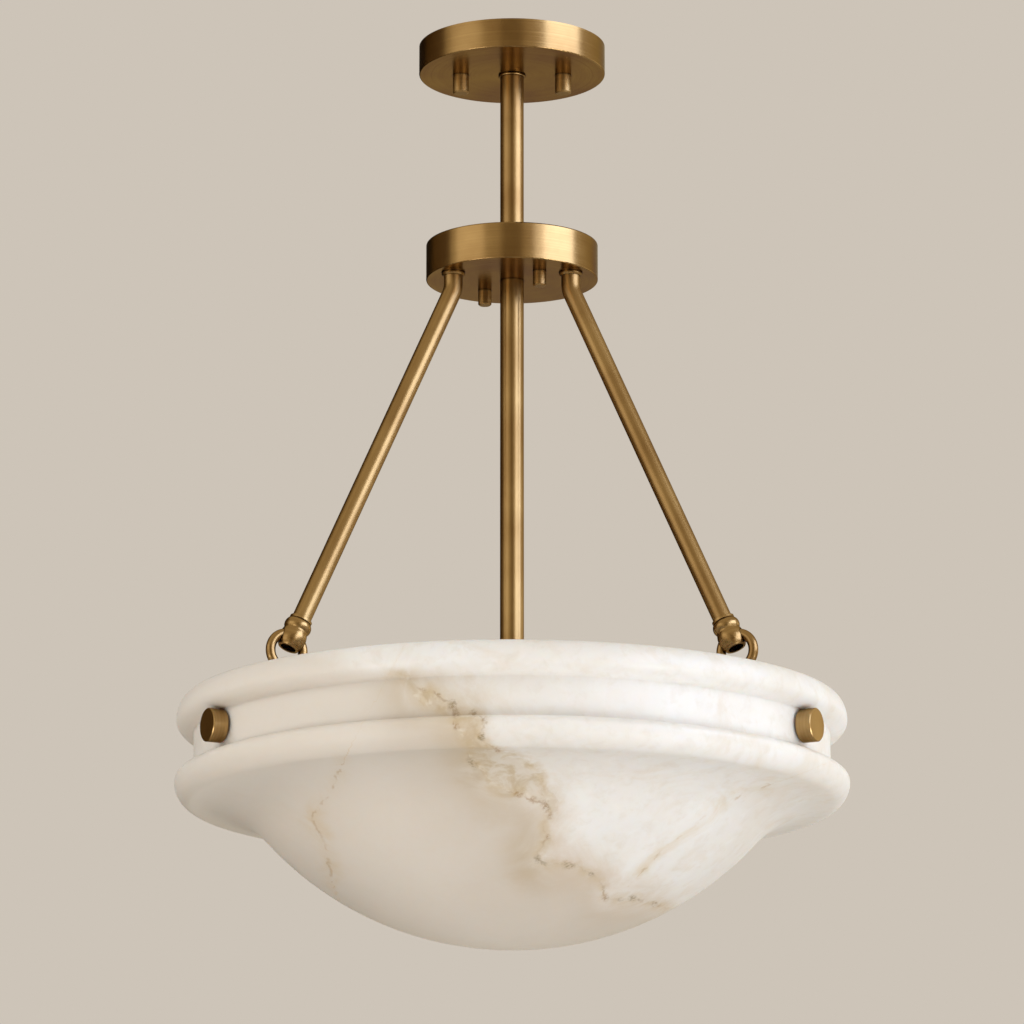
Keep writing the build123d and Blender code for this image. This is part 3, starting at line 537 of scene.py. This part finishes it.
# %% Distance from a route
def side_distance(place, route):
    """Signed distance in mm from a route of straight runs: to each run, the nearest point is at
    t = clip(dot(p - a, b - a) / |b - a|^2, 0, 1). The sign is that of the cross product, above zero to the
    left of the direction of travel. Past a corner two runs are equally near, and the one that the point
    lies more to the side of gives the sign."""
    nearest, offside = np.full(len(place), 1e9), np.zeros(len(place))
    for start, stop in zip(route[:-1], route[1:]):
        run = np.subtract(stop, start)
        offset = place - start
        t = np.clip(offset @ run / (run @ run), 0, 1)
        distance = np.hypot(*(offset - t[:, None] * run).T)
        beyond = (run[0] * offset[:, 1] - run[1] * offset[:, 0]) / np.hypot(*run)
        tied = np.abs(distance - nearest) < 1e-6
        closer = np.where(tied, np.abs(beyond) > np.abs(offside), distance < nearest)
        nearest, offside = np.where(closer, distance, nearest), np.where(closer, beyond, offside)
    return nearest * np.sign(offside)


lean = math.radians(10.0)
front = np.stack([corners[:, 0], corners[:, 2] * math.cos(lean) - corners[:, 1] * math.sin(lean)], axis=1)
print("the bowl is", round(float(np.ptp(front[:, 1]))), "mm high in the veins' plane")

# %% [markdown]
# Two cracks run from the upper left to the lower right and meet under the bowl, with a patch of small
# crystals between them. A finer thread runs down the left of the dome, and another climbs its right side.

# %% The veins' routes
joined = [
    (25, -524), (20, -528), (22, -535), (23, -539), (19, -544), (15, -548), (16, -553), (22, -556),
    (37, -556.5), (42, -556), (45, -560), (56, -565), (59, -572), (61, -578), (70, -579), (78, -578),
    (84, -580), (103, -585), (160, -600),
]
upper_crack = [
    (-160, -395), (-95, -425), (-67, -433), (-63, -440), (-59, -444), (-55, -446), (-51, -445), (-43, -452),
    (-37, -454), (-36, -460), (-31, -461), (-24, -460), (-17, -464), (-17, -468), (-20, -476), (-14, -480),
    (-9, -483), (1, -486), (10, -491), (15, -495), (19, -499), (20, -505), (25, -510), (30, -515), (29, -521),
    *joined,
]
lower_crack = [
    (-160, -396), (-95, -426), (-68, -438), (-60, -452), (-45, -458), (-37, -459), (-35, -467), (-32, -473),
    (-28, -481), (-27, -489), (-20, -496), (-14, -504), (-10, -507), (5, -510), (15, -515), (21, -516),
    (22, -520), *joined,
]
left_thread = [(-108, -494), (-116, -509), (-129, -526), (-122, -538), (-117, -566)]
right_thread = [(166, -505), (135, -517), (114, -532), (94, -549), (84, -560)]
routes = {
    "upper_crack": upper_crack,
    "lower_crack": lower_crack,
    "left_thread": left_thread,
    "right_thread": right_thread,
}
for name, route in routes.items():
    gap = side_distance(front, np.array(route, float))
    layer = stone_bowl.data.attributes.new(name, "FLOAT", "POINT")
    layer.data.foreach_set("value", gap.astype(np.float32))
    print(name, "has", len(route), "points and comes within", round(float(np.abs(gap).min()), 2), "mm")

# %% [markdown]
# In places the crack opens and holds a small knot of earth. Each corner also gets its distance from the
# nearest knot, in units of that knot's size. A knot is given by its place in the veins' plane and its size.

# %% Knots of earth
farthest = 4.0
earth_knots = [
    (-55, -446, 2.5), (-37, -455, 5.0), (-35, -461, 3.0), (-24, -460, 3.0), (-17, -465, 3.2),
    (-19, -475, 3.5), (-35, -468, 3.5), (-26, -492, 5.0), (4, -510, 4.0), (13, -514, 3.5), (22, -518, 5.0),
    (24, -525, 2.5), (23, -538, 2.5), (16, -552, 3.5), (36, -556, 5.0), (51, -562, 2.5), (60, -577, 3.5),
    (70, -579, 2.0), (78, -578, 3.5), (93, -582, 3.0), (-9, -483, 2.5), (-46, -448, 2.0),
]
in_sizes = [np.hypot(front[:, 0] - x, front[:, 1] - up_front) / size for x, up_front, size in earth_knots]
knot_gap = np.minimum(np.min(in_sizes, axis=0), farthest)
layer = stone_bowl.data.attributes.new("knot_gap", "FLOAT", "POINT")
layer.data.foreach_set("value", knot_gap.astype(np.float32))
print("knots of earth:", len(earth_knots))

# %% [markdown]
# ## Honed alabaster
# The stone is turned, sanded and then rubbed to a dull polish. Light goes some millimetres into it and comes
# out again, so the finish has subsurface scattering. Its colour is laid in coats, from the widest to the
# finest: pale clouds and veils, a greyer zone below the lower crack, the tan stain beside it, the patch of
# crystals between the two cracks, a golden halo along them, and last the dark thread of earth in the cracks.
#
# First come the noises. Their sizes are those of real clouds, veils and crystals in alabaster.

# %% Clouds, veils and crystals
stone, tree, shader = new_finish("honed_alabaster")
place = add_node(tree, "ShaderNodeTexCoord").outputs["Object"]
big = {"Vector": place, "Scale": 1 / (140 * MM), "Detail": 4.0, "Roughness": 0.5, "Distortion": 0.6}
clouds = add_node(tree, "ShaderNodeTexNoise", big)
flowing = {"Vector": place, "Scale": 1 / (55 * MM), "Detail": 6.0, "Roughness": 0.6, "Distortion": 1.4}
veils = add_node(tree, "ShaderNodeTexNoise", flowing)
small = {"Vector": place, "Scale": 1 / (13 * MM), "Detail": 5.0, "Roughness": 0.6, "Distortion": 0.4}
milk = add_node(tree, "ShaderNodeTexNoise", small)
sugar = {"Vector": place, "Scale": 1 / (9 * MM), "Detail": 4.0, "Roughness": 0.6, "Distortion": 0.4}
crystals = add_node(tree, "ShaderNodeTexNoise", sugar)
print("noises in the stone:", sum(n.type == "TEX_NOISE" for n in tree.nodes))

# %% [markdown]
# The distances come next. Two noises are added to each, one slow and one quick, which bends the line by a
# few millimetres and frays it. A line or a zone is then a smooth fade on the frayed distance.

# %% Frayed distances
most_sway, most_fray = 3.0, 2.6
slow = add_node(tree, "ShaderNodeTexNoise", {"Vector": place, "Scale": 1 / (22 * MM), "Detail": 3.0})
hasty = {"Vector": place, "Scale": 1 / (4.5 * MM), "Detail": 4.0, "Roughness": 0.65}
quick = add_node(tree, "ShaderNodeTexNoise", hasty)
sway = add_node(tree, "ShaderNodeMapRange", {"Value": slow, **fade(0.0, 1.0, -most_sway, most_sway)})
fray = add_node(tree, "ShaderNodeMapRange", {"Value": quick, **fade(0.0, 1.0, -most_fray, most_fray)})
ragged = add_node(tree, "ShaderNodeMath", {0: sway, 1: fray}, operation="ADD")
signed = {}
for name in routes:
    layer = add_node(tree, "ShaderNodeAttribute", attribute_name=name, attribute_type="GEOMETRY")
    signed[name] = add_node(tree, "ShaderNodeMath", {0: layer.outputs["Fac"], 1: ragged}, operation="ADD")
print("frayed distances:", list(signed))

# %% [markdown]
# Masks are numbers from 0 to 1. Four helpers in a mason's words keep the recipe short: a zone beside a vein,
# masks laid over each other so that only their common part is left, the strongest of several, and colours
# laid over a tone in turn, each as far as its mask says.

# %% Masks
def beside(name, core, edge):
    """1 within core mm of the vein's line on either side, fading to 0 at edge mm."""
    gap = add_node(tree, "ShaderNodeMath", {0: signed[name]}, operation="ABSOLUTE")
    return add_node(tree, "ShaderNodeMapRange", {"Value": gap, **fade(core, edge, 1.0, 0.0)}, **smooth)


def common(*masks):
    """Product of several masks."""
    product = masks[0]
    for mask in masks[1:]:
        product = add_node(tree, "ShaderNodeMath", {0: product, 1: mask}, operation="MULTIPLY")
    return product


def strongest(*masks):
    """The greatest of several masks."""
    result = masks[0]
    for mask in masks[1:]:
        result = add_node(tree, "ShaderNodeMath", {0: result, 1: mask}, operation="MAXIMUM")
    return result


def laid_over(tone, *layers):
    """The tone with each layer's colour mixed over it in turn, by that layer's mask."""
    for mask, over in layers:
        mixed = add_node(tree, "ShaderNodeMix", {0: mask, 6: tone, 7: over}, data_type="RGBA")
        tone = mixed.outputs[2]
    return tone


across = add_node(tree, "ShaderNodeSeparateXYZ", {"Vector": place}).outputs["X"]
begins = add_node(tree, "ShaderNodeMapRange", {"Value": across, **fade(-0.104, -0.060)}, **smooth)
ends = add_node(tree, "ShaderNodeMapRange", {"Value": across, **fade(0.098, 0.116, 1.0, 0.0)}, **smooth)
height = add_node(tree, "ShaderNodeSeparateXYZ", {"Vector": place}).outputs["Z"]
lip_edge = fade(-0.482, -0.474, 1.0, 0.0)
under_lip = add_node(tree, "ShaderNodeMapRange", {"Value": height, **lip_edge}, **smooth)
inside = common(begins, ends, under_lip)
print("the cracks show between -104 and 116 mm from the middle and stop under the upper lip")

# %% [markdown]
# The pale ground has cream and white clouds, soft veils, milky places and small duller spots. Below the lower
# crack the stone is a little greyer, and within 75 mm of the crack a dusk lies over it.

# %% Pale ground
ground = [(0.34, colour("F0EDE8")), (0.50, colour("F4F3F1")), (0.66, colour("F9FAFA"))]
tone = add_node(tree, "ShaderNodeValToRGB", {"Fac": clouds}, stops=ground).outputs[0]
veiled = add_node(tree, "ShaderNodeMapRange", {"Value": veils, **fade(0.48, 0.72, 0.0, 0.5)}, **smooth)
milky = add_node(tree, "ShaderNodeMapRange", {"Value": milk, **fade(0.5, 0.75, 0.0, 0.45)}, **smooth)
to_lower = signed["lower_crack"]
below = add_node(tree, "ShaderNodeMapRange", {"Value": to_lower, **fade(-16.0, 2.0, 0.85, 0.0)}, **smooth)
spots = add_node(tree, "ShaderNodeMapRange", {"Value": crystals, **fade(0.48, 0.72, 0.0, 0.3)}, **smooth)
low_side = add_node(tree, "ShaderNodeMapRange", {"Value": to_lower, **fade(-14.0, 0.0, 0.5, 0.0)}, **smooth)
dusk = common(low_side, beside("lower_crack", 14.0, 75.0), inside)
tone = laid_over(
    tone,
    (veiled, colour("EAE1D4")),
    (milky, colour("FBFBFB")),
    (spots, colour("E4DDD2")),
    (below, colour("E6E0D8")),
    (dusk, colour("D6CCBE")),
)
print("pale ground ready")

# %% [markdown]
# Beside the cracks the stone is stained. The stain lies on the lower side of the lower crack, and on the neck
# it lies along the upper one. Between the two cracks is a tan patch, with white crystals along its edges.
# Right of the middle a faint blush lies on both sides of the crack, and a golden halo runs along both cracks.

# %% Stains and crystals
stain_side = add_node(tree, "ShaderNodeMapRange", {"Value": to_lower, **fade(0.0, 6.0, 1.0, 0.0)}, **smooth)
wanes = add_node(tree, "ShaderNodeMapRange", {"Value": across, **fade(0.004, 0.030, 1.0, 0.3)}, **smooth)
rises = add_node(tree, "ShaderNodeMapRange", {"Value": across, **fade(-0.055, -0.020, 0.35, 1.0)}, **smooth)
uneven = add_node(tree, "ShaderNodeMapRange", {"Value": veils, **fade(0.35, 0.62, 0.45, 0.95)}, **smooth)
stain = common(stain_side, beside("lower_crack", 5.0, 31.0), uneven, wanes, rises, inside)
on_neck = add_node(tree, "ShaderNodeMapRange", {"Value": across, **fade(-0.030, -0.005, 1.0, 0.0)}, **smooth)
stained_neck = common(beside("upper_crack", 2.0, 24.0), on_neck, uneven, inside)
to_upper = signed["upper_crack"]
between = common(
    add_node(tree, "ShaderNodeMapRange", {"Value": to_upper, **fade(-2.0, 1.0, 1.0, 0.0)}, **smooth),
    add_node(tree, "ShaderNodeMapRange", {"Value": to_lower, **fade(-2.0, 2.0)}, **smooth),
    beside("upper_crack", 16.0, 34.0),
    inside,
)
tan_part = add_node(tree, "ShaderNodeMapRange", {"Value": milk, **fade(0.36, 0.6, 0.95, 0.45)}, **smooth)
patch = common(between, tan_part)
fringe = strongest(beside("lower_crack", 1.0, 6.0), beside("upper_crack", 0.5, 4.5))
whiteness = add_node(tree, "ShaderNodeMapRange", {"Value": crystals, **fade(0.44, 0.62, 0.0, 0.7)}, **smooth)
white = common(between, fringe, whiteness)
right_part = add_node(tree, "ShaderNodeMapRange", {"Value": across, **fade(0.010, 0.030, 0.0, 0.7)}, **smooth)
blush = common(beside("lower_crack", 3.0, 24.0), right_part, uneven, inside)
halo_tone = add_node(tree, "ShaderNodeMapRange", {"Value": milk, **fade(0.38, 0.62, 0.5, 0.05)}, **smooth)
halo = common(strongest(beside("upper_crack", 0.0, 6.0), beside("lower_crack", 0.0, 7.0)), inside, halo_tone)
tone = laid_over(
    tone,
    (blush, colour("DDD0C0")),
    (stain, colour("CFBFA6")),
    (stained_neck, colour("D9CCB8")),
    (patch, colour("D0BFA2")),
    (white, colour("F4EFE6")),
    (halo, colour("D4C09C")),
)
print("stains ready")

# %% [markdown]
# The thread is where the earth fills the crack. It is thin and pale for most of its length and swells to
# darker in places, so its width and its depth follow a noise, and at the knots it is a cluster of specks. The
# upper crack's line grows faint where the two routes join, so that it isn't drawn twice. The two fine threads
# are paler and more broken, and lie in a soft smear.

# %% Threads
swell = add_node(tree, "ShaderNodeTexNoise", {"Vector": place, "Scale": 1 / (11 * MM), "Detail": 3.0})
width = add_node(tree, "ShaderNodeMapRange", {"Value": swell, **fade(0.40, 0.65, 0.45, 1.1)}, **smooth)
depth = add_node(tree, "ShaderNodeMapRange", {"Value": swell, **fade(0.42, 0.66, 0.06, 0.45)}, **smooth)
speckle = {"Vector": place, "Scale": 1 / (1.9 * MM), "Detail": 3.0, "Roughness": 0.6}
specks = add_node(tree, "ShaderNodeTexNoise", speckle)
lower_start = add_node(tree, "ShaderNodeMapRange", {"Value": across, **fade(-0.031, -0.026)}, **smooth)
upper_end = add_node(tree, "ShaderNodeMapRange", {"Value": across, **fade(0.000, 0.008, 1.0, 0.25)}, **smooth)
filled = []
for name, extent in (("upper_crack", upper_end), ("lower_crack", lower_start)):
    gap = add_node(tree, "ShaderNodeMath", {0: signed[name]}, operation="ABSOLUTE")
    share = add_node(tree, "ShaderNodeMath", {0: gap, 1: width}, operation="DIVIDE")
    line = add_node(tree, "ShaderNodeMapRange", {"Value": share, **fade(0.2, 1.0, 1.0, 0.0)}, **smooth)
    filled.append(common(line, extent))
knots = add_node(tree, "ShaderNodeAttribute", attribute_name="knot_gap", attribute_type="GEOMETRY")
from_knot = knots.outputs["Fac"]
lump = add_node(tree, "ShaderNodeMapRange", {"Value": from_knot, **fade(0.35, 1.15, 1.0, 0.0)}, **smooth)
grains = add_node(tree, "ShaderNodeMapRange", {"Value": specks, **fade(0.42, 0.60, 0.12, 0.62)}, **smooth)
hugging = strongest(beside("upper_crack", 0.8, 3.6), beside("lower_crack", 0.8, 3.6))
near = add_node(tree, "ShaderNodeMapRange", {"Value": from_knot, **fade(1.0, 2.6, 1.0, 0.3)}, **smooth)
thread = common(strongest(common(strongest(*filled), depth, near), common(lump, grains, hugging)), inside)
earth = [(0.40, colour("867040")), (0.60, colour("A87E48"))]
rust = add_node(tree, "ShaderNodeValToRGB", {"Fac": slow}, stops=earth)
hair = common(
    strongest(beside("left_thread", 0.1, 1.5), beside("right_thread", 0.1, 1.2)),
    add_node(tree, "ShaderNodeMapRange", {"Value": swell, **fade(0.46, 0.62, 0.0, 0.4)}, **smooth),
)
smear = common(
    strongest(beside("left_thread", 0.0, 11.0), beside("right_thread", 0.0, 8.0)),
    add_node(tree, "ShaderNodeMapRange", {"Value": veils, **fade(0.4, 0.65, 0.05, 0.4)}, **smooth),
)
tone = laid_over(tone, (smear, colour("DDC8A2")), (hair, colour("B99A66")), (thread, rust.outputs[0]))
tree.links.new(tone, shader.inputs["Base Color"])
print("nodes in the stone's colour:", len(tree.nodes))

# %% [markdown]
# Last comes how the stone takes the light: a dull polish that is a little uneven, a grain too fine to see
# except as softness, and light that spreads under the skin, red the furthest.

# %% Polish and glow
haze = add_node(tree, "ShaderNodeTexNoise", {"Vector": place, "Scale": 1 / (33 * MM), "Detail": 4.0})
polish = add_node(tree, "ShaderNodeMapRange", {"Value": haze, **fade(0.3, 0.7, 0.42, 0.52)})
pores = add_node(tree, "ShaderNodeTexNoise", {"Vector": place, "Scale": 1 / (2.4 * MM), "Detail": 3.0})
grain = add_node(tree, "ShaderNodeBump", {"Height": pores, "Strength": 0.15, "Distance": 0.2 * MM})
tree.links.new(polish.outputs[0], shader.inputs["Roughness"])
tree.links.new(grain.outputs[0], shader.inputs["Normal"])
shader.inputs["Subsurface Weight"].default_value = 0.7
shader.inputs["Subsurface Radius"].default_value = (1.0, 0.86, 0.74)
shader.inputs["Subsurface Scale"].default_value = 10 * MM
stone_bowl.data.materials.append(stone)
print("stone finish:", stone.name)

# %% [markdown]
# ## Plain finishes
# The parts that hide in the canopy, the hub and the bowl have plain finishes. Each is one colour with faint
# clouds, because plating, glaze and moulded fibre are never quite even.

# %% Plain finishes
darkened = 0.88


def plain(name, tint, metallic, roughness):
    """One colour that noise darkens by an eighth in soft clouds of about 17 mm."""
    material, tree, shader = new_finish(name)
    place = add_node(tree, "ShaderNodeTexCoord").outputs["Object"]
    cloud = add_node(tree, "ShaderNodeTexNoise", {"Vector": place, "Scale": 1 / (17 * MM), "Detail": 3.0})
    full = colour(tint)
    darker = (*(c * darkened for c in full[:3]), 1.0)
    stops = [(0.35, darker), (0.65, full)]
    tone = add_node(tree, "ShaderNodeValToRGB", {"Fac": cloud}, stops=stops)
    tree.links.new(tone.outputs["Color"], shader.inputs["Base Color"])
    shader.inputs["Metallic"].default_value = metallic
    shader.inputs["Roughness"].default_value = roughness
    return material


# Zinc plate on rolled steel: grey, between satin and bright
zinc = plain("zinc_plated_steel", "A9ABAA", 1.0, 0.35)
# Porcelain with a fired glaze: milk white and glossy
porcelain = plain("glazed_porcelain", "F0EDE6", 0.0, 0.18)
# Pressed fibre and moulded rubber: grey brown and dull
fibre = plain("pressed_fibre", "84776A", 0.0, 0.75)
# Opal glass, blown: white and glossy, and it hides the lamp's works
opal = plain("opal_glass", "F7F4EE", 0.0, 0.15)
# Nickel plate on a rolled screw base: pale and bright
nickel = plain("nickel_plated_base", "B9B6AF", 1.0, 0.3)
# Thin drawn brass of the screw shell, unlacquered: yellow and bright
shell_brass = plain("bright_shell_brass", "C9A24F", 1.0, 0.3)
print("plain finishes:", [m.name for m in (zinc, porcelain, fibre, opal, nickel, shell_brass)])

# %% [markdown]
# ## Dress the frame
# The record names a material slot for each piece of the frame. A piece takes its own brass where it has one,
# and otherwise the finish of its slot. Only the finishes change: the frame's shapes stay as they are.

# %% Dress the frame
finish_of = {
    "alabaster": stone,
    "zinc_steel": zinc,
    "porcelain": porcelain,
    "gasket_rubber": fibre,
    "opal_glass": opal,
    "bulb_metal": nickel,
    "screw_shell_brass": shell_brass,
}
for entry in frame["record"]["subparts"]:
    finish = own_finish.get(entry["node"], finish_of.get(entry["material_slot"], turned_brass))
    for slot in frame["nodes"][entry["node"]].material_slots:
        slot.material = finish
